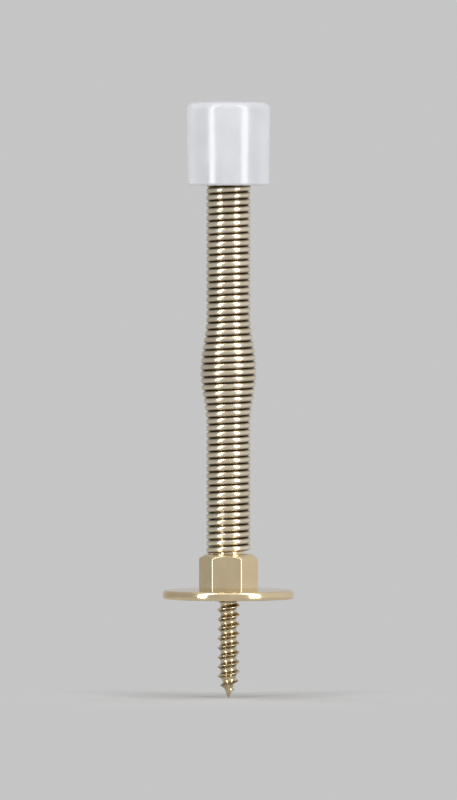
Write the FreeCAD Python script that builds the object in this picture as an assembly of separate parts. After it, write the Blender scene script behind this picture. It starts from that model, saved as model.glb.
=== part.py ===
"""Spring door stop: a soft bumper tip on a close-wound spring, a hex flange base and a wood screw.

Millimetres. The origin is the middle of the flange's wall face. +Z runs along the stop to the free end of the
tip, the screw points to -Z, and two flats of the hex face +Y and -Y.
"""

import FreeCAD, Part
import math
import os

from FreeCAD import Vector

# The whole stop
PROJECTION = 76.2  # from the wall to the free end of the tip

# Hex flange base, one casting
FLANGE_D = 20.2
FLANGE_RIM = 1.3  # height of the rim, before its shoulder is rounded
FLANGE_RISE = 0.4  # from the top of the rim up the cone to the flats of the hex
SHOULDER_R = 0.5
RIM_FOOT_R = 0.2  # at the wall
HEX_FLATS = 7.94  # across flats
HEX_HEIGHT = 5.2  # from the top of the cone to the seat of the spring
HEX_EDGE_R = 0.3
CROWN_D = 7.0  # the round seat on top of the hex, inside its chamfer
CROWN_SLOPE = 35.0  # degrees, of the chamfer under the seat
CROWN_R = 0.15  # along both edges of the chamfer
POST_LENGTH = 7.0  # the post that centres the spring
POST_CHAMFER = 0.5
POST_CLEARANCE = 0.05  # all round, to the inside of the spring

# Spring, close wound from round wire, right hand
WIRE_D = 1.0
TURN_GAP = 0.04  # between one turn and the next
SPRING_D = 6.9  # over the turns
BULGE_D = 8.7  # over the widest turn
BULGE_HEIGHT = 35.0  # from the wall to the widest turn
BULGE_LENGTH = 17.0
SEAT_CLEARANCE = 0.02  # from each end of the spring to its seat

# Bumper tip, a soft moulded cap
TIP_LENGTH = 12.8
TIP_END_D = 12.8
TIP_MOUTH_D = 12.4
TIP_END_R = 1.2
TIP_MOUTH_R = 0.4
SOCKET_DEPTH = 9.0
SOCKET_LEAD = 0.4  # chamfer at the mouth of the socket
SOCKET_CLEARANCE = 0.1  # all round the spring

# Wood screw, with its shank set in the base
SCREW_REACH = 15.2  # from the wall to the point
POINT_LENGTH = 3.4
POINT_D = 0.3  # across the blunted end of the point
THREAD_D = 3.5
ROOT_D = 2.4
THREAD_PITCH = 1.45
THREAD_CREST = 0.12  # width of the flat on the crest
THREAD_FLANK = 30.0  # degrees, from square to the axis
THREAD_BITE = 0.2  # how far the foot of the thread reaches into the core
THREAD_STOP = 1.1  # from the end of the thread to the end of the point
THREAD_FADE = 0.4  # turns over which the thread rises from the core at each end
SHANK_D = 3.0
SHANK_DEPTH = 5.5  # from the wall into the base
SHANK_RUNOUT = 0.7  # from the wall to where the shank has narrowed to the core
SHANK_CLEARANCE = 0.02  # all round, in its hole
MOUTH_CLEARANCE = 0.15  # round the thread, to the countersunk mouth of the hole

# Levels and radii that follow from the sizes above
FLANGE_TOP = FLANGE_RIM + FLANGE_RISE
HEX_TOP = FLANGE_TOP + HEX_HEIGHT
TIP_MOUTH = PROJECTION - TIP_LENGTH
SOCKET_FLOOR = TIP_MOUTH + SOCKET_DEPTH
COIL_R = (SPRING_D - WIRE_D) / 2
BULGE_COIL_R = (BULGE_D - WIRE_D) / 2
HEX_CORNER_R = HEX_FLATS / math.sqrt(3)
CROWN_DROP = (HEX_CORNER_R - CROWN_D / 2) * math.tan(math.radians(CROWN_SLOPE))
THREAD_DEPTH = (THREAD_D - ROOT_D) / 2

POINTS_PER_TURN = 12  # along the thread
UP = Vector(0, 0, 1)


def turned(outline):
    """The solid that an outline of (radius, height) points sweeps round the axis."""
    points = [Vector(radius, 0, height) for radius, height in outline]
    return Part.Face(closed(points)).revolve(Vector(), UP, 360)


def closed(points):
    """The polygon through these points and back to the first."""
    return Part.makePolygon(points + points[:1])


def closed_solid(faces):
    """The solid whose skin is these faces."""
    shell = Part.makeShell(faces)
    shell.sewShape()
    return Part.Solid(shell)


def rim(solid, radius, height):
    """The circular edges of a solid that have this radius and height."""
    return [
        edge
        for edge in solid.Edges
        if isinstance(edge.Curve, Part.Circle)
        and math.isclose(edge.Curve.Radius, radius)
        and math.isclose(edge.Curve.Center.z, height, abs_tol=1e-6)
    ]


def wrench_hex():
    """The hex, from the wall to the seat of the spring, with soft upright edges and a chamfered crown."""
    angles = [math.radians(60 * corner) for corner in range(6)]
    corners = [Vector(math.cos(angle), math.sin(angle), 0) * HEX_CORNER_R for angle in angles]
    prism = Part.Face(closed(corners)).extrude(UP * HEX_TOP)
    upright = [edge for edge in prism.Edges if abs(edge.tangentAt(edge.FirstParameter).z) > 0.9]
    crown = turned(
        [
            (0, 0),
            (HEX_CORNER_R, 0),
            (HEX_CORNER_R, HEX_TOP - CROWN_DROP),
            (CROWN_D / 2, HEX_TOP),
            (0, HEX_TOP),
        ]
    )
    nut = prism.makeFillet(HEX_EDGE_R, upright).common(crown)
    crown_edges = [edge for edge in nut.Edges if edge.BoundBox.ZMin > HEX_TOP - CROWN_DROP]
    return nut.makeFillet(CROWN_R, crown_edges)


def hex_flange_base():
    rim_r = FLANGE_D / 2
    flange = turned([(0, 0), (rim_r, 0), (rim_r, FLANGE_RIM), (HEX_FLATS / 2, FLANGE_TOP), (0, FLANGE_TOP)])
    flange = flange.makeFillet(SHOULDER_R, rim(flange, rim_r, FLANGE_RIM))
    flange = flange.makeFillet(RIM_FOOT_R, rim(flange, rim_r, 0))
    post_r = COIL_R - WIRE_D / 2 - POST_CLEARANCE
    post_top = HEX_TOP + POST_LENGTH
    post = turned(
        [
            (0, 0),
            (post_r, 0),
            (post_r, post_top - POST_CHAMFER),
            (post_r - POST_CHAMFER, post_top),
            (0, post_top),
        ]
    )
    hole_r = SHANK_D / 2 + SHANK_CLEARANCE
    hole_end = SHANK_DEPTH + SHANK_CLEARANCE
    mouth_r = THREAD_D / 2 + MOUTH_CLEARANCE
    hole = turned([(0, 0), (mouth_r, 0), (hole_r, mouth_r - hole_r), (hole_r, hole_end), (0, hole_end)])
    return flange.fuse([wrench_hex(), post]).cut(hole).removeSplitter()


def coil_radius(height):
    """The radius of the wire's middle, which swells smoothly to the widest turn."""
    reach = min(abs(height - BULGE_HEIGHT) / (BULGE_LENGTH / 2), 1)
    return COIL_R + (BULGE_COIL_R - COIL_R) * (1 + math.cos(math.pi * reach)) / 2


def spring():
    """The wire, whose half turns are circular arcs that each rise by half the pitch and join smoothly."""
    bottom = HEX_TOP + SEAT_CLEARANCE + WIRE_D / 2
    top = SOCKET_FLOOR - SEAT_CLEARANCE - WIRE_D / 2
    half_turns = round(2 * (top - bottom) / (WIRE_D + TURN_GAP))
    places = []
    for half_turn in range(half_turns + 1):
        height = bottom + (top - bottom) * half_turn / half_turns
        side = 1 if half_turn % 2 else -1
        places.append(Vector(side * coil_radius(height), 0, height))
    section = Part.Circle(places[0], Vector(0, 1, 0), WIRE_D / 2).toShape()
    skin = [Part.Face(Part.Wire(section))]
    for start, end in zip(places, places[1:]):
        across = end - start
        middle = (start + end) / 2
        axis = across.cross(Vector(0, across.x, 0))
        skin.append(section.revolve(middle, axis, 180))
        section = section.rotated(middle, axis, 180)
    skin.append(Part.Face(Part.Wire(section)))
    return closed_solid(skin)


def bumper_tip():
    end_r = TIP_END_D / 2
    mouth_r = TIP_MOUTH_D / 2
    cap = turned([(0, TIP_MOUTH), (mouth_r, TIP_MOUTH), (end_r, PROJECTION), (0, PROJECTION)])
    cap = cap.makeFillet(TIP_END_R, rim(cap, end_r, PROJECTION))
    cap = cap.makeFillet(TIP_MOUTH_R, rim(cap, mouth_r, TIP_MOUTH))
    socket_r = SPRING_D / 2 + SOCKET_CLEARANCE
    socket = turned(
        [
            (0, TIP_MOUTH),
            (socket_r + SOCKET_LEAD, TIP_MOUTH),
            (socket_r, TIP_MOUTH + SOCKET_LEAD),
            (socket_r, SOCKET_FLOOR),
            (0, SOCKET_FLOOR),
        ]
    )
    return cap.cut(socket)


def core_radius(height):
    """The radius of the screw's core, which narrows to the point."""
    taper = min((height + SCREW_REACH) / POINT_LENGTH, 1)
    return (POINT_D + (ROOT_D - POINT_D) * taper) / 2


def screw_thread():
    """The right-hand thread, four ruled strips between the helices of its foot and of its crest, which sinks
    into the core at both ends."""
    half_crest = THREAD_CREST / 2
    half_foot = half_crest + (THREAD_DEPTH + THREAD_BITE) * math.tan(math.radians(THREAD_FLANK))
    bottom = THREAD_STOP - SCREW_REACH
    turns = (-half_foot - bottom) / THREAD_PITCH
    spans = math.ceil(turns)
    steps = [step / POINTS_PER_TURN for step in range(spans * POINTS_PER_TURN + 1)]

    def helix(out, end_out, up):
        points = []
        for step in steps:
            turn = turns * step / spans
            height = bottom + THREAD_PITCH * turn
            sunk = max(1 - min(turn, turns - turn) / THREAD_FADE, 0)
            radius = core_radius(height) + out + (end_out - out) * sunk**2 * (3 - 2 * sunk)
            angle = 2 * math.pi * turn
            points.append(Vector(radius * math.cos(angle), radius * math.sin(angle), height + up))
        curve = Part.BSplineCurve()
        curve.interpolate(Points=points, Parameters=steps)
        return curve

    def span_edge(curve, span):
        piece = curve.copy()
        piece.segment(span, span + 1)
        return piece.toShape()

    foot_out, crest_out, crest_end = -THREAD_BITE, THREAD_DEPTH, -THREAD_BITE / 2
    helices = [
        helix(foot_out, foot_out, -half_foot),
        helix(crest_out, crest_end, -half_crest),
        helix(crest_out, crest_end, half_crest),
        helix(foot_out, foot_out, half_foot),
    ]
    skin = [Part.Face(closed([curve.value(end) for curve in helices])) for end in (0, spans)]
    for one, other in zip(helices, helices[1:] + helices[:1]):
        for span in range(spans):
            skin.append(Part.makeRuledSurface(span_edge(one, span), span_edge(other, span)))
    return closed_solid(skin)


def wood_screw():
    core = turned(
        [
            (0, -SCREW_REACH),
            (POINT_D / 2, -SCREW_REACH),
            (ROOT_D / 2, POINT_LENGTH - SCREW_REACH),
            (ROOT_D / 2, -SHANK_RUNOUT),
            (SHANK_D / 2, 0),
            (SHANK_D / 2, SHANK_DEPTH),
            (0, SHANK_DEPTH),
        ]
    )
    return core.fuse(screw_thread())


PIECES = {
    "hex_flange_base": hex_flange_base,
    "wood_screw": wood_screw,
    "spring": spring,
    "bumper_tip": bumper_tip,
}

os.makedirs("parts", exist_ok=True)
for name, make in PIECES.items():
    make().exportStep(f"parts/{name}.step")
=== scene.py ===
import math

import bpy
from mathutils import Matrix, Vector


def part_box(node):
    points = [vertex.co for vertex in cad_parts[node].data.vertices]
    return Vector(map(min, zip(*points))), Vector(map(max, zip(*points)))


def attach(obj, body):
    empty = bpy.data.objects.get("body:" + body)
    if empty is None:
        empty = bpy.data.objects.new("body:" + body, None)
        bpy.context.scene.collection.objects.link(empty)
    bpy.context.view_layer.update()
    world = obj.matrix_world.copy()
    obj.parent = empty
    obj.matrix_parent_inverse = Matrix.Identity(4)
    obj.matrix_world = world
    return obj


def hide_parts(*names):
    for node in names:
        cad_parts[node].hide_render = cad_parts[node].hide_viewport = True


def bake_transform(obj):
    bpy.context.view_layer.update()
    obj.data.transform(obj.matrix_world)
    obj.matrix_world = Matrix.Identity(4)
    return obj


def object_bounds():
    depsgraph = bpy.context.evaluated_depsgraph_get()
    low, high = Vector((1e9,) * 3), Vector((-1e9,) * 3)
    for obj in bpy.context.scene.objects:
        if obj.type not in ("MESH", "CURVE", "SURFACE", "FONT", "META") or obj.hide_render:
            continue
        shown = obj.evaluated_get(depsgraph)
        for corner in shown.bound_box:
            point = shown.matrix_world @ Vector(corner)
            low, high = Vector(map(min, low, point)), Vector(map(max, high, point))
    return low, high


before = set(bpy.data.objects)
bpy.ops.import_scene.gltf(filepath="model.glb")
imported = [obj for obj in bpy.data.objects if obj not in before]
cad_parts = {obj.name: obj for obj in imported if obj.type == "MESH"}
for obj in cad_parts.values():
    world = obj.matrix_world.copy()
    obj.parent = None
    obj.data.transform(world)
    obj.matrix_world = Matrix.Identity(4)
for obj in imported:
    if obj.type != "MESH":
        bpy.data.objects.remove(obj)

cad_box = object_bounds()

# Metres, with the wall face at z = 0, the stop along +Z and its front towards -Y
MM = 0.001
NEAR = 0.002 * MM  # how close a vertex is to a place to count as there
ROUND = 128  # edges round a turned form
UP, DOWN = 1, -1
SQUARE_ON = 0.99  # how nearly a flat face points up or down
SMOOTH_TURNED = math.radians(30)  # turned faces that meet within this shade as one
SMOOTH_WOUND = math.radians(40)  # and so do wound faces

# Hex flange base
FLANGE_R = 10.1 * MM
FLANGE_RIM = 1.3 * MM
FLANGE_RISE = 0.4 * MM  # height of the low cone on top of the rim
SHOULDER = 0.47 * MM  # width of the rounding at the top of the rim
RIM_FOOT = 0.2 * MM
HEX_FLATS = 7.94 * MM
HEX_TOP = 6.9 * MM
HEX_SUNK = 1.0 * MM  # the hex starts inside the flange
HEX_LENGTH = HEX_TOP - HEX_SUNK
HEX_MIDDLE = HEX_SUNK + HEX_LENGTH / 2
HEX_TURN = math.radians(30)  # brings two flats to the front and back
HEX_EDGE = 0.17 * MM
CROWN_R = 3.5 * MM
CROWN_SLOPE = math.radians(35)
CROWN_OVERRUN = 1.0 * MM  # how far the cone that trims the hex stands past its ends
CROWN_EDGE = 0.07 * MM
CROWN_EDGE_ANGLE = math.radians(25)  # sharper edges of the crowned hex are rounded
POST_R = 2.4 * MM
POST_CHAMFER = 0.5 * MM
HOLE_R = 1.52 * MM
HOLE_MOUTH_R = 1.9 * MM
HOLE_END = 5.52 * MM

# Wood screw
POINT_LENGTH = 3.4 * MM
POINT_R = 0.15 * MM
THREAD_R = 1.75 * MM
ROOT_R = 1.2 * MM
THREAD_PITCH = 1.45 * MM
THREAD_CREST = 0.12 * MM
FLANK_HOLLOW = 2.6  # how hollow the flanks run down to the root
THREAD_STOP = 1.1 * MM  # height of the thread's lower end above the point
THREAD_FADE = 0.6 * MM  # height over which the thread rises from the core at each end
THREAD_STEPS = 48  # a turn
OUTLINE_CUTS = 20
TURNS_BELOW, TURNS_ABOVE = 2, 1  # wound past the thread's ends, and trimmed off
SHANK_R = 1.5 * MM
SHANK_RUNOUT = 0.7 * MM  # length over which the core widens to the shank

# Spring
WIRE_R = 0.5 * MM
COIL_R = 2.95 * MM
TURN_PITCH = 1.04 * MM
BULGE_HEIGHT = 35.0 * MM
BULGE_LENGTH = 17.0 * MM
WIRE_SIDES = 16
TURN_STEPS = 48

# Bumper tip
TIP_END_R = 6.4 * MM
TIP_MOUTH_R = 6.2 * MM
TIP_END_EDGE = 1.2 * MM
TIP_MOUTH_EDGE = 0.4 * MM
SOCKET_R = 3.55 * MM
SOCKET_LEAD = 0.4 * MM  # chamfer at the mouth of the socket
SOCKET_DEPTH = 9.0 * MM

# Colours
WHITE = (1.0, 1.0, 1.0)
WIRE_CROWN = (0.94, 0.85, 0.67)
# painted shade: the wire's colour darkened down the sides of each turn and into the grooves between turns
WIRE_SIDE_SHADE = (0.51, 0.42, 0.29)
WIRE_GROOVE_SHADE = (0.21, 0.165, 0.11)
WIRE_DULLED = (0.80, 0.78, 0.74)  # the share of its colour that the wire keeps in dull patches
CASTING_DEEP = (0.78, 0.61, 0.37)
CASTING_PALE = (0.85, 0.70, 0.46)
# painted shade: the thread darkest on its flanks, and its root a little darker than its crest
THREAD_ROOT = (0.76, 0.65, 0.45)
THREAD_LOW_FLANK_SHADE = (0.36, 0.28, 0.18)
THREAD_HIGH_FLANK_SHADE = (0.42, 0.34, 0.22)
THREAD_TOP = (0.92, 0.82, 0.61)
SCREW_DULLED = (0.78, 0.76, 0.70)
VINYL_DEEP = (0.59, 0.60, 0.63)
VINYL_PALE = (0.63, 0.64, 0.665)
BACKDROP = (0.56, 0.56, 0.56)
FLOOR_PALE = (0.58, 0.58, 0.58)

# Stage
FLOOR_R = 0.16
FLOOR_NEAR = 0.004  # radius where the floor starts to pass into the backdrop
FLOOR_FAR = 0.040
SIDE_SHADE = 0.26  # how much paler or darker the backdrop is in reflections, at the far right or left
FILL = 0.14  # strength of the even light from all round
LAMP_DISTANCE = 0.8
LAMP_HEIGHT = 0.40
STRIP_LENGTH = 3.6
SIDE_LAMP = (0.4, 1.4)
OVERHEAD_LAMP = (1.6, 1.6)
FOCAL_LENGTH = 440  # millimetres, as is the sensor
SENSOR_WIDTH = 36
CAMERA_AZIMUTH = 4  # degrees from the front
CAMERA_DISTANCE = 1.5
CAMERA_HEIGHT = 0.060
CAMERA_AIM = 0.0305


# Modelling, as by hand

def deselect_all():
    bpy.ops.object.select_all(action="DESELECT")


def make_active(piece):
    deselect_all()
    piece.select_set(True)
    bpy.context.view_layer.objects.active = piece


def named(name):
    """The primitive that was just added, with its place put into its mesh."""
    bpy.ops.object.transform_apply(location=True, rotation=True, scale=True)
    piece = bpy.context.active_object
    piece.name = piece.data.name = name
    return piece


def start_editing():
    bpy.ops.object.mode_set(mode="EDIT")


def stop_editing():
    bpy.ops.object.mode_set(mode="OBJECT")


def pick(kind, passes):
    """Edit mode on the active piece, with only the faces or edges selected that pass the test."""
    mesh = bpy.context.active_object.data
    start_editing()
    bpy.ops.mesh.select_mode(type=kind)
    bpy.ops.mesh.select_all(action="DESELECT")
    stop_editing()
    if kind == "FACE":
        for face in mesh.polygons:
            face.select = passes(face.center, face.normal)
    else:
        for edge in mesh.edges:
            edge.select = passes(*(mesh.vertices[end].co for end in edge.vertices))
    start_editing()


def pick_all():
    """Edit mode on the active piece, with all of it selected."""
    start_editing()
    bpy.ops.mesh.select_all(action="SELECT")


def pick_disc(height, facing):
    """The flat faces at this height that face up or down."""
    pick("FACE", lambda middle, normal: abs(middle.z - height) < NEAR and normal.z * facing > SQUARE_ON)


def pick_ring(radius, height):
    """The ring of edges at this radius and height."""

    def there(place):
        return abs(place.xy.length - radius) < NEAR and abs(place.z - height) < NEAR

    pick("EDGE", lambda one, other: there(one) and there(other))


def widen(scale):
    """Scales what is picked out from the axis, or in towards it."""
    bpy.ops.transform.resize(value=(scale, scale, 1), center_override=(0, 0, 0))


def extrude(rise, scale=1.0):
    """Draws the picked face out along the axis, and widens or narrows it."""
    move = {"value": (0, 0, rise), "orient_type": "GLOBAL"}
    bpy.ops.mesh.extrude_region_move(TRANSFORM_OT_translate=move)
    if scale != 1.0:
        widen(scale)


def bevel(width, segments):
    bpy.ops.mesh.bevel(offset=width, segments=segments, affect="EDGES")
    stop_editing()


def bevel_ring(radius, height, width, segments):
    pick_ring(radius, height)
    bevel(width, segments)


def face_outwards():
    """Turns all the faces of the piece in edit mode outwards."""
    bpy.ops.mesh.select_all(action="SELECT")
    bpy.ops.mesh.normals_make_consistent(inside=False)
    stop_editing()


def apply_modifier(piece, name, kind, **settings):
    """Adds a modifier to the active piece and applies it."""
    modifier = piece.modifiers.new(name, kind)
    for setting, value in settings.items():
        setattr(modifier, setting, value)
    bpy.ops.object.modifier_apply(modifier=modifier.name)


def apply_boolean(piece, other, operation):
    """Joins or trims a piece with another, which is used up."""
    make_active(piece)
    apply_modifier(piece, operation.lower(), "BOOLEAN", operation=operation, solver="EXACT", object=other)
    bpy.data.objects.remove(other)
    pick_all()
    bpy.ops.mesh.dissolve_degenerate(threshold=NEAR)
    stop_editing()


def wind(piece, steps, **settings):
    """Sweeps the active outline round and up the axis, right hand."""
    apply_modifier(piece, "turns", "SCREW", axis="Z", steps=steps, render_steps=steps, **settings)


def close_ends():
    """Fills the open ends of the active piece and turns its faces outwards."""
    start_editing()
    bpy.ops.mesh.select_mode(type="EDGE")
    bpy.ops.mesh.select_all(action="DESELECT")
    bpy.ops.mesh.select_non_manifold()
    bpy.ops.mesh.fill_holes(sides=0)
    face_outwards()


def trim(height, outwards):
    """Cuts off what stands past this height on the active piece, and fills the cut."""
    pick_all()
    bpy.ops.mesh.bisect(
        plane_co=(0, 0, height),
        plane_no=(0, 0, outwards),
        use_fill=True,
        clear_outer=True,
        threshold=NEAR,
    )
    face_outwards()


def smooth(piece, angle):
    """Smooth shading with crisp edges, and flats that stay flat beside their rounded edges."""
    make_active(piece)
    bpy.ops.object.shade_smooth_by_angle(angle=angle)
    apply_modifier(piece, "flat_faces", "WEIGHTED_NORMAL", keep_sharp=True, weight=100)


def clamped(share):
    return min(max(share, 0), 1)


def eased(share):
    """From 0 to 1 with a soft start and end."""
    return clamped(share) ** 2 * (3 - 2 * clamped(share))


# Hex flange base

def flange():
    """The round flange with its low cone, its rounded shoulder and its foot."""
    deselect_all()
    bpy.ops.mesh.primitive_cylinder_add(
        vertices=ROUND, radius=FLANGE_R, depth=FLANGE_RIM, location=(0, 0, FLANGE_RIM / 2)
    )
    disc = named("hex_flange_casting")
    pick_disc(FLANGE_RIM, UP)
    bpy.ops.mesh.inset(thickness=FLANGE_R - HEX_FLATS / 2, depth=FLANGE_RISE)
    stop_editing()
    bevel_ring(FLANGE_R, FLANGE_RIM, SHOULDER, segments=10)
    bevel_ring(FLANGE_R, 0, RIM_FOOT, segments=4)
    return disc


def crown_cone():
    """The cone that trims the hex to its crown."""
    run = 1 / math.tan(CROWN_SLOPE)
    deselect_all()
    bpy.ops.mesh.primitive_cone_add(
        vertices=ROUND,
        radius1=CROWN_R + (HEX_LENGTH + CROWN_OVERRUN) * run,
        radius2=CROWN_R - CROWN_OVERRUN * run,
        depth=HEX_LENGTH + 2 * CROWN_OVERRUN,
        location=(0, 0, HEX_MIDDLE),
    )
    return named("crown")


def wrench_hex(post_top):
    """The crowned hex, with the post that stands on it inside the spring."""
    deselect_all()
    bpy.ops.mesh.primitive_cylinder_add(
        vertices=6,
        radius=HEX_FLATS / math.sqrt(3),
        depth=HEX_LENGTH,
        location=(0, 0, HEX_MIDDLE),
        rotation=(0, 0, HEX_TURN),
    )
    wrench = named("wrench_hex")
    pick("EDGE", lambda one, other: abs(one.z - other.z) > NEAR)
    bevel(HEX_EDGE, segments=6)
    apply_boolean(wrench, crown_cone(), "INTERSECT")
    apply_modifier(
        wrench,
        "crown_edges",
        "BEVEL",
        limit_method="ANGLE",
        angle_limit=CROWN_EDGE_ANGLE,
        width=CROWN_EDGE,
        segments=3,
    )
    pick_disc(HEX_TOP, UP)
    bpy.ops.mesh.inset(thickness=CROWN_R - CROWN_EDGE - POST_R)
    extrude(post_top - HEX_TOP - POST_CHAMFER)
    extrude(POST_CHAMFER, 1 - POST_CHAMFER / POST_R)
    stop_editing()
    return wrench


def hex_flange_casting():
    """The flange, the wrench hex and the post in one piece, with the screw's hole in the wall face."""
    casting = flange()
    apply_boolean(casting, wrench_hex(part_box("hex_flange_base")[1].z), "UNION")
    mouth_depth = HOLE_MOUTH_R - HOLE_R
    pick_disc(0, DOWN)
    bpy.ops.mesh.inset(thickness=FLANGE_R - RIM_FOOT - HOLE_MOUTH_R)
    extrude(mouth_depth, HOLE_R / HOLE_MOUTH_R)
    extrude(HOLE_END - mouth_depth)
    stop_editing()
    smooth(casting, SMOOTH_TURNED)
    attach(casting, "base")
    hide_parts("hex_flange_base")
    return casting


# Wood screw

def thread_outline(crest):
    """One pitch of the thread's outline, with its crest at this height."""
    deselect_all()
    bpy.ops.mesh.primitive_plane_add(
        size=THREAD_PITCH,
        location=(THREAD_R - THREAD_PITCH / 2, 0, crest),
        rotation=(math.radians(90), 0, 0),
    )
    outline = named("threaded_screw")
    pick("EDGE", lambda one, other: min(one.x, other.x) < THREAD_R - NEAR)
    bpy.ops.mesh.delete(type="EDGE_FACE")
    bpy.ops.mesh.select_all(action="SELECT")
    bpy.ops.mesh.subdivide(number_cuts=OUTLINE_CUTS)
    stop_editing()
    half_crest = THREAD_CREST / 2
    flank = THREAD_PITCH / 2 - half_crest
    for vertex in outline.data.vertices:
        down_flank = max(abs(vertex.co.z - crest) - half_crest, 0) / flank
        vertex.co.x = ROOT_R + (THREAD_R - ROOT_R) * (1 - down_flank) ** FLANK_HOLLOW
    return outline


def taper(screw, point, thread_low):
    """Narrows the core to the point, sinks the thread's ends into it and runs it out to the shank."""
    for vertex in screw.data.vertices:
        height, radius = vertex.co.z, vertex.co.xy.length
        core_r = POINT_R + (ROOT_R - POINT_R) * clamped((height - point) / POINT_LENGTH)
        inside_ends = min(height - thread_low, -height)
        thread_r = core_r + (radius - ROOT_R) * eased(0.5 + inside_ends / THREAD_FADE)
        runout_r = SHANK_R + (SHANK_R - ROOT_R) * height / SHANK_RUNOUT
        vertex.co.xy *= max(thread_r, runout_r) / radius


def threaded_screw():
    """The wood screw: the thread's outline wound up the core, tapered and trimmed, with its shank."""
    low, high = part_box("wood_screw")
    thread_low = low.z + THREAD_STOP
    crest = thread_low - TURNS_BELOW * THREAD_PITCH
    turns = math.ceil(-crest / THREAD_PITCH) + TURNS_ABOVE
    screw = thread_outline(crest)
    wind(screw, THREAD_STEPS, angle=math.tau, screw_offset=THREAD_PITCH, iterations=turns)
    pick_all()
    bpy.ops.mesh.remove_doubles(threshold=NEAR)
    stop_editing()
    taper(screw, low.z, thread_low)
    trim(low.z, DOWN)
    trim(0, UP)
    pick_disc(0, UP)
    extrude(high.z)
    stop_editing()
    smooth(screw, SMOOTH_WOUND)
    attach(screw, "base")
    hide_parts("wood_screw")
    return screw


# Spring

def mark_wire(spring):
    """Notes on each vertex how deep in a groove it is, which sets the wire's painted shade, and where it is
    round and along the wire.
    """
    groove = spring.data.attributes.new("groove", "FLOAT", "POINT")
    wire_way = spring.data.attributes.new("wire_way", "FLOAT_VECTOR", "POINT")
    for vertex in spring.data.vertices:
        step, side = divmod(vertex.index, WIRE_SIDES)
        round_wire = math.tau * side / WIRE_SIDES
        along = math.tau * COIL_R * step / TURN_STEPS / WIRE_R
        groove.data[vertex.index].value = (COIL_R + WIRE_R - vertex.co.xy.length) / WIRE_R
        wire_way.data[vertex.index].vector = (math.cos(round_wire), math.sin(round_wire), along)


def swell(spring, most):
    """Widens the turns near the middle, by the most at the height of the bulge."""
    for vertex in spring.data.vertices:
        reach = min(abs(vertex.co.z - BULGE_HEIGHT) / (BULGE_LENGTH / 2), 1)
        vertex.co.xy *= 1 + most * (1 + math.cos(math.pi * reach)) / 2 / vertex.co.xy.length


def wound_spring():
    """The round wire, wound close to the nearest half turn, with the swelling near its middle."""
    low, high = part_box("spring")
    rise = high.z - low.z - 2 * WIRE_R
    turns = round(2 * rise / TURN_PITCH) / 2

    deselect_all()
    bpy.ops.mesh.primitive_circle_add(
        vertices=WIRE_SIDES,
        radius=WIRE_R,
        location=(-COIL_R, 0, low.z + WIRE_R),
        rotation=(math.radians(90), 0, 0),
    )
    spring = named("wound_spring")
    wind(spring, round(turns * TURN_STEPS), angle=math.tau * turns, screw_offset=rise)
    close_ends()
    mark_wire(spring)
    swell(spring, high.x - WIRE_R - COIL_R)
    make_active(spring)
    bpy.ops.object.shade_smooth_by_angle(angle=SMOOTH_WOUND)
    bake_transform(spring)
    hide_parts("spring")
    return spring


# Bumper tip

def moulded_tip():
    """The soft cap with its rounded end and the blind socket for the spring."""
    low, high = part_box("bumper_tip")
    length = high.z - low.z

    deselect_all()
    bpy.ops.mesh.primitive_cylinder_add(
        vertices=ROUND, radius=TIP_MOUTH_R, depth=length, location=(0, 0, low.z + length / 2)
    )
    tip = named("moulded_tip")
    pick_disc(high.z, UP)
    widen(TIP_END_R / TIP_MOUTH_R)
    stop_editing()
    bevel_ring(TIP_END_R, high.z, TIP_END_EDGE, segments=12)
    bevel_ring(TIP_MOUTH_R, low.z, TIP_MOUTH_EDGE, segments=6)
    pick_disc(low.z, DOWN)
    lead_r = SOCKET_R + SOCKET_LEAD
    bpy.ops.mesh.inset(thickness=TIP_MOUTH_R - TIP_MOUTH_EDGE - lead_r)
    extrude(SOCKET_LEAD, SOCKET_R / lead_r)
    extrude(SOCKET_DEPTH - SOCKET_LEAD)
    stop_editing()
    smooth(tip, SMOOTH_TURNED)
    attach(tip, "tip")
    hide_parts("bumper_tip")
    return tip


# Finishes

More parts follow.
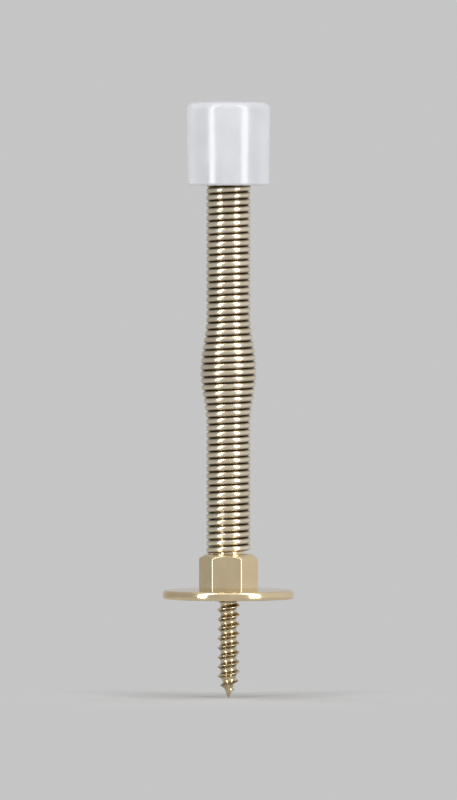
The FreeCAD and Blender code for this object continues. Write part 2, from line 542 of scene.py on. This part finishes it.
class Finish:
    """A node material with its Principled shader, and short ways to add the nodes that feed it."""

    def __init__(self, name):
        self.material = bpy.data.materials.new(name)
        self.material.use_nodes = True
        self.nodes = self.material.node_tree.nodes
        self.shader = self.nodes["Principled BSDF"]
        self.place = self.add("ShaderNodeTexCoord").outputs["Object"]

    def add(self, kind, **settings):
        node = self.nodes.new(kind)
        for setting, value in settings.items():
            setattr(node, setting, value)
        return node

    def link(self, source, socket):
        self.material.node_tree.links.new(source, socket)

    def set(self, **values):
        """Plain values on the shader's own sockets."""
        for socket, value in values.items():
            self.shader.inputs[socket.replace("_", " ")].default_value = value

    def feed(self, socket, source):
        self.link(source, self.shader.inputs[socket])

    def attribute(self, name, output="Fac"):
        return self.add("ShaderNodeAttribute", attribute_name=name).outputs[output]

    def stretch(self, vector, scale):
        node = self.add("ShaderNodeMapping")
        node.inputs["Scale"].default_value = scale
        self.link(vector, node.inputs["Vector"])
        return node.outputs["Vector"]

    def from_axis(self):
        """The distance from the axis of the stop."""
        node = self.add("ShaderNodeVectorMath", operation="LENGTH")
        self.link(self.stretch(self.place, (1, 1, 0)), node.inputs[0])
        return node.outputs["Value"]

    def between(self, value, low, high, **settings):
        """Goes from 0 to 1 as the value goes from low to high."""
        node = self.add("ShaderNodeMapRange", **settings)
        node.inputs["From Min"].default_value = low
        node.inputs["From Max"].default_value = high
        self.link(value, node.inputs["Value"])
        return node.outputs["Result"]

    def noise(self, vector, scale=1.0, detail=2.0):
        node = self.add("ShaderNodeTexNoise")
        node.inputs["Scale"].default_value = scale
        node.inputs["Detail"].default_value = detail
        self.link(vector, node.inputs["Vector"])
        return node.outputs["Fac"]

    def ramp(self, factor, *stops):
        """A colour, or a grey, that goes through these (place, colour) stops."""
        node = self.add("ShaderNodeValToRGB")
        elements = node.color_ramp.elements
        while len(elements) < len(stops):
            elements.new(1.0)
        for element, (place, colour) in zip(elements, stops):
            element.position = place
            element.color = (*colour, 1) if isinstance(colour, tuple) else (colour, colour, colour, 1)
        self.link(factor, node.inputs["Fac"])
        return node.outputs["Color"]

    def mottle(self, noise, low, high):
        """A colour, or a grey, that changes over the middle of a noise, where most of it lies."""
        return self.ramp(noise, (0.30, low), (0.70, high))

    def multiply(self, one, other):
        node = self.add("ShaderNodeMix", data_type="RGBA", blend_type="MULTIPLY")
        node.inputs["Factor"].default_value = 1.0
        self.link(one, node.inputs["A"])
        self.link(other, node.inputs["B"])
        return node.outputs["Result"]

    def bump(self, height, depth, strength):
        """Raises the surface by up to this depth."""
        node = self.add("ShaderNodeBump")
        node.inputs["Strength"].default_value = strength
        node.inputs["Distance"].default_value = depth
        self.link(height, node.inputs["Height"])
        return node.outputs["Normal"]


def bright_wire():
    """Plated wire: pale on the crowns of the turns, with painted shade brown down their sides and dark in the
    grooves, drawn streaks along the wire.
    """
    finish = Finish("bright_wire")
    groove = finish.attribute("groove")
    # painted shade by groove depth: pale crowns, brown sides, dark grooves
    tone = finish.ramp(groove, (0.03, WIRE_CROWN), (0.26, WIRE_SIDE_SHADE), (0.70, WIRE_GROOVE_SHADE))
    patches = finish.noise(finish.stretch(finish.place, (260, 260, 700)), detail=3.0)
    finish.feed("Base Color", finish.multiply(tone, finish.mottle(patches, WIRE_DULLED, WHITE)))
    along_wire = finish.stretch(finish.attribute("wire_way", "Vector"), (5.0, 5.0, 0.12))
    streaks = finish.noise(along_wire, detail=4.0)
    finish.feed("Roughness", finish.ramp(streaks, (0.30, 0.24), (0.75, 0.36)))
    finish.feed("Normal", finish.bump(streaks, depth=0.01 * MM, strength=0.3))
    tangent = finish.add("ShaderNodeTangent", direction_type="RADIAL", axis="Z")
    finish.feed("Tangent", tangent.outputs["Tangent"])
    finish.set(Metallic=1.0, Anisotropic=0.85, Anisotropic_Rotation=0.25)
    return finish.material


def bright_casting():
    """Polished plating on a casting, with a faint orange peel and a slow change of tone."""
    finish = Finish("bright_casting")
    clouds = finish.noise(finish.place, scale=350, detail=3.0)
    finish.feed("Base Color", finish.mottle(clouds, CASTING_DEEP, CASTING_PALE))
    finish.feed("Roughness", finish.mottle(clouds, 0.08, 0.16))
    peel = finish.noise(finish.place, scale=1400)
    finish.feed("Normal", finish.bump(peel, depth=0.05 * MM, strength=0.12))
    finish.set(Metallic=1.0)
    return finish.material


def bright_screw():
    """Plating like the casting's, with painted shade that makes the flanks of the thread browner than its
    root and crest, and the root a little darker than the crest.
    """
    finish = Finish("bright_screw")
    # painted shade by distance from the axis: dark flanks between the root and the crest
    tone = finish.ramp(
        finish.between(finish.from_axis(), ROOT_R, THREAD_R),
        (0.02, THREAD_ROOT),
        (0.20, THREAD_LOW_FLANK_SHADE),
        (0.70, THREAD_HIGH_FLANK_SHADE),
        (0.95, THREAD_TOP),
    )
    clouds = finish.noise(finish.place, scale=900, detail=3.0)
    finish.feed("Base Color", finish.multiply(tone, finish.mottle(clouds, SCREW_DULLED, WHITE)))
    finish.feed("Roughness", finish.mottle(clouds, 0.22, 0.10))
    grain = finish.noise(finish.place, scale=2600)
    finish.feed("Normal", finish.bump(grain, depth=0.03 * MM, strength=0.2))
    finish.set(Metallic=1.0)
    return finish.material


def soft_vinyl():
    """Cool white moulded vinyl, slightly cloudy, with a soft gloss."""
    finish = Finish("soft_vinyl")
    clouds = finish.noise(finish.place, scale=260, detail=3.0)
    finish.feed("Base Color", finish.mottle(clouds, VINYL_DEEP, VINYL_PALE))
    finish.feed("Roughness", finish.mottle(clouds, 0.18, 0.26))
    skin = finish.noise(finish.place, scale=1800)
    finish.feed("Normal", finish.bump(skin, depth=0.04 * MM, strength=0.15))
    finish.set(Specular_IOR_Level=0.70)
    finish.set(Subsurface_Weight=0.2, Subsurface_Radius=WHITE, Subsurface_Scale=0.8 * MM)
    return finish.material


# Stage

def pale_floor():
    """Matt and pale under the stop, for its shadow, and passing into the backdrop further out."""
    finish = Finish("pale_floor")
    finish.set(Base_Color=(*FLOOR_PALE, 1), Roughness=1.0, Specular_IOR_Level=0.0)
    far = finish.add("ShaderNodeEmission")
    far.inputs["Color"].default_value = (*BACKDROP, 1)
    fade = finish.between(finish.from_axis(), FLOOR_NEAR, FLOOR_FAR, interpolation_type="SMOOTHSTEP")
    mix = finish.add("ShaderNodeMixShader")
    finish.link(fade, mix.inputs["Fac"])
    finish.link(finish.shader.outputs["BSDF"], mix.inputs[1])
    finish.link(far.outputs["Emission"], mix.inputs[2])
    finish.link(mix.outputs["Shader"], finish.nodes["Material Output"].inputs["Surface"])
    return finish.material


def studio_floor():
    """A disc under the point of the screw."""
    deselect_all()
    bpy.ops.mesh.primitive_circle_add(
        vertices=ROUND, radius=FLOOR_R, fill_type="NGON", location=(0, 0, cad_box[0].z)
    )
    floor = named("studio_floor")
    floor.data.materials.append(pale_floor())


def studio_world():
    """A pale backdrop for the camera and for reflections, darker in those on the left, and an even fill."""
    world = bpy.data.worlds.new("studio")
    bpy.context.scene.world = world
    world.use_nodes = True
    nodes, links = world.node_tree.nodes, world.node_tree.links

    def worked_out(operation, *values):
        """The result of a math node on these values, each a number or another node's output."""
        node = nodes.new("ShaderNodeMath")
        node.operation = operation
        for socket, value in zip(node.inputs, values):
            if isinstance(value, float):
                socket.default_value = value
            else:
                links.new(value, socket)
        return node.outputs["Value"]

    path = nodes.new("ShaderNodeLightPath")
    mirrored = path.outputs["Is Glossy Ray"]
    way = nodes.new("ShaderNodeSeparateXYZ")
    links.new(nodes.new("ShaderNodeTexCoord").outputs["Generated"], way.inputs["Vector"])
    to_right = worked_out("MULTIPLY", way.outputs["X"], mirrored)

    seen = nodes["Background"]
    seen.inputs["Color"].default_value = (*BACKDROP, 1)
    links.new(worked_out("MULTIPLY_ADD", to_right, SIDE_SHADE, 1.0), seen.inputs["Strength"])
    fill = nodes.new("ShaderNodeBackground")
    fill.inputs["Color"].default_value = (*WHITE, 1)
    fill.inputs["Strength"].default_value = FILL
    straight = worked_out("MAXIMUM", path.outputs["Is Camera Ray"], path.outputs["Is Transmission Ray"])
    mix = nodes.new("ShaderNodeMixShader")
    links.new(worked_out("MAXIMUM", straight, mirrored), mix.inputs["Fac"])
    links.new(fill.outputs["Background"], mix.inputs[1])
    links.new(seen.outputs["Background"], mix.inputs[2])
    links.new(mix.outputs["Shader"], nodes["World Output"].inputs["Surface"])


def aimed(device, azimuth, distance, height, aim):
    """Sets up a lamp or camera, at degrees from -Y towards +X, turned to a height on the axis."""
    stand = bpy.data.objects.new(device.name, device)
    bpy.context.scene.collection.objects.link(stand)
    turn = math.radians(azimuth)
    stand.location = (math.sin(turn) * distance, -math.cos(turn) * distance, height)
    back = stand.location - Vector((0, 0, aim))
    stand.rotation_euler = back.to_track_quat("Z", "Y").to_euler()
    return stand


def softbox(
    name,
    azimuth,
    size,
    power,
    distance=LAMP_DISTANCE,
    height=LAMP_HEIGHT,
    aim=LAMP_HEIGHT,
    mirrored=True,
):
    """A soft rectangular lamp that the camera doesn't see, and that reflections show where it is mirrored."""
    lamp = bpy.data.lights.new(name, "AREA")
    lamp.shape = "RECTANGLE"
    lamp.size, lamp.size_y = size
    lamp.energy = power
    stand = aimed(lamp, azimuth, distance, height, aim)
    stand.visible_camera = False
    stand.visible_glossy = mirrored


def photo_camera():
    """A long lens at the photograph's viewing angle."""
    lens = bpy.data.cameras.new("camera")
    lens.lens = FOCAL_LENGTH
    lens.sensor_width = SENSOR_WIDTH
    camera = aimed(lens, CAMERA_AZIMUTH, CAMERA_DISTANCE, CAMERA_HEIGHT, CAMERA_AIM)
    bpy.context.scene.camera = camera


# The stop and its stage

hex_flange_casting().data.materials.append(bright_casting())
threaded_screw().data.materials.append(bright_screw())
wound_spring().data.materials.append(bright_wire())
moulded_tip().data.materials.append(soft_vinyl())

studio_floor()
studio_world()
softbox("left_strip", azimuth=-43, size=(0.21, STRIP_LENGTH), power=15.0)
softbox("right_strip", azimuth=51, size=(0.28, STRIP_LENGTH), power=16.5)
softbox("left_side", azimuth=-112, size=SIDE_LAMP, power=4.0, mirrored=False)
softbox("right_side", azimuth=118, size=SIDE_LAMP, power=3.0, mirrored=False)
softbox("overhead", azimuth=0, size=OVERHEAD_LAMP, power=4.2, distance=0.2, height=1.2, aim=0.03)
photo_camera()
bpy.context.scene.view_settings.view_transform = "Standard"
